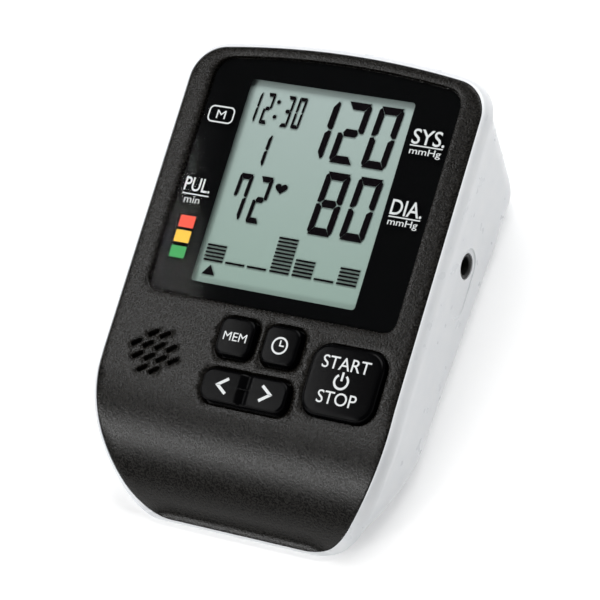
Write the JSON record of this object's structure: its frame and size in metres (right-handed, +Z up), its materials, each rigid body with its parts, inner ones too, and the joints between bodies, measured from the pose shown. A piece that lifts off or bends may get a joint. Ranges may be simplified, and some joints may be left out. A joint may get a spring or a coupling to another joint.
{
  "type": "blood pressure monitor",
  "caption": "Desktop upper arm blood pressure monitor: tilted display under a black window, push keys, rocker, speaker grille, battery bay, pump, valve and air socket.",
  "frame": {"origin": "on the surface it stands on, under the middle of the case", "axes": "+Z up, -Y towards the user's end of the face, +X to the right as the display is read"},
  "size_m": [0.1116, 0.1556, 0.0469],
  "materials": {
    "panel_plastic": "fine spark-eroded texture",
    "white_case": "satin gloss white ABS",
    "rubber": "moulded rubber",
    "screw_steel": "zinc plated",
    "window": "polished clear acrylic over a black printed border",
    "black_tape": "black foam tape",
    "display_glass": "liquid crystal cell",
    "display_film": "grey-green reflector film",
    "white_plastic": "natural moulded plastic",
    "key_plastic": "satin black",
    "black_plastic": "satin black",
    "circuit_board": "green solder mask",
    "bare_steel": "plated steel",
    "cone_paper": "pressed paper",
    "cell_wrap": "plain printed wrap over a steel can",
    "spring_steel": "nickel plated",
    "pin_brass": "nickel plated brass",
    "clear_hose": "translucent silicone",
    "magnet": "sintered ferrite",
    "copper_winding": "enamelled copper wire"
  },
  "bodies": {
    "case": {"front_panel": "panel_plastic", "lower_shell": "white_case", "rubber_feet": "rubber", "case_screws": "screw_steel", "window_lens": "window", "lens_tape": "black_tape", "lcd_cell": "display_glass", "lcd_reflector": "display_film", "lcd_holder": "white_plastic", "contact_strips": "rubber", "start_switch": "black_plastic", "mem_switch": "black_plastic", "clock_switch": "black_plastic", "rocker_switches": "black_plastic", "main_board": "circuit_board", "processor_chip": "black_plastic", "capacitors": "black_plastic", "board_screws": "screw_steel", "speaker_frame": "bare_steel", "speaker_cone": "cone_paper", "speaker_magnet": "bare_steel", "cell_1": "cell_wrap", "cell_2": "cell_wrap", "cell_3": "cell_wrap", "cell_4": "cell_wrap", "battery_springs": "spring_steel", "battery_plates": "spring_steel", "power_socket": "black_plastic", "power_pin": "pin_brass", "air_socket": "white_plastic", "air_tee": "white_plastic", "socket_tube": "clear_hose", "pump_tube": "clear_hose", "valve_tube": "clear_hose", "sensor_tube": "clear_hose", "pressure_sensor": "white_plastic", "motor_can": "bare_steel", "motor_end_cap": "black_plastic", "motor_magnets": "magnet", "pump_housing": "white_plastic", "wobble_plate": "rubber", "pump_head": "white_plastic", "valve_body": "white_plastic", "valve_yoke": "bare_steel", "valve_coil": "copper_winding"},
    "start_button": {"start_key": "key_plastic", "start_plunger": "white_plastic"},
    "mem_button": {"mem_key": "key_plastic", "mem_plunger": "white_plastic"},
    "clock_button": {"clock_key": "key_plastic", "clock_plunger": "white_plastic"},
    "rocker_button": {"rocker_key": "key_plastic", "rocker_plungers": "white_plastic"},
    "door": {"battery_door": "white_case"},
    "pump_rotor": {"motor_shaft": "bare_steel", "motor_armature": "copper_winding", "pump_crank": "white_plastic"},
    "exhaust_valve": {"valve_plunger": "bare_steel"}
  },
  "joints": [
    {"name": "start_press", "type": "slide", "parent": "case", "child": "start_button", "axis": [0, 0.1323, -0.9912], "range_m": [0, 0.0005], "stiffness_N_per_m": 1200, "springref_m": -0.0008},
    {"name": "mem_press", "type": "slide", "parent": "case", "child": "mem_button", "axis": [0, 0.1323, -0.9912], "range_m": [0, 0.0005], "stiffness_N_per_m": 1200, "springref_m": -0.0008},
    {"name": "clock_press", "type": "slide", "parent": "case", "child": "clock_button", "axis": [0, 0.1323, -0.9912], "range_m": [0, 0.0005], "stiffness_N_per_m": 1200, "springref_m": -0.0008},
    {"name": "rocker_tilt", "type": "hinge", "parent": "case", "child": "rocker_button", "pos_m": [0.0015, -0.03812, 0.02623], "axis": [0, 0.9912, 0.1323], "range_deg": [-2.5, 2.5], "stiffness_Nm_per_rad": 0.25},
    {"name": "door_hinge", "type": "hinge", "parent": "case", "child": "door", "pos_m": [-0.017, 0.0379, 0.0023], "axis": [1, 0, 0], "range_deg": [0, 95]},
    {"name": "pump_spin", "type": "hinge", "parent": "case", "child": "pump_rotor", "pos_m": [0.025, 0.0525, 0.017], "axis": [1, 0, 0], "continuous": true},
    {"name": "valve_lift", "type": "slide", "parent": "case", "child": "exhaust_valve", "axis": [-1, 0, 0], "range_m": [0, 0.0008], "stiffness_N_per_m": 150, "springref_m": -0.0008}
  ]
}
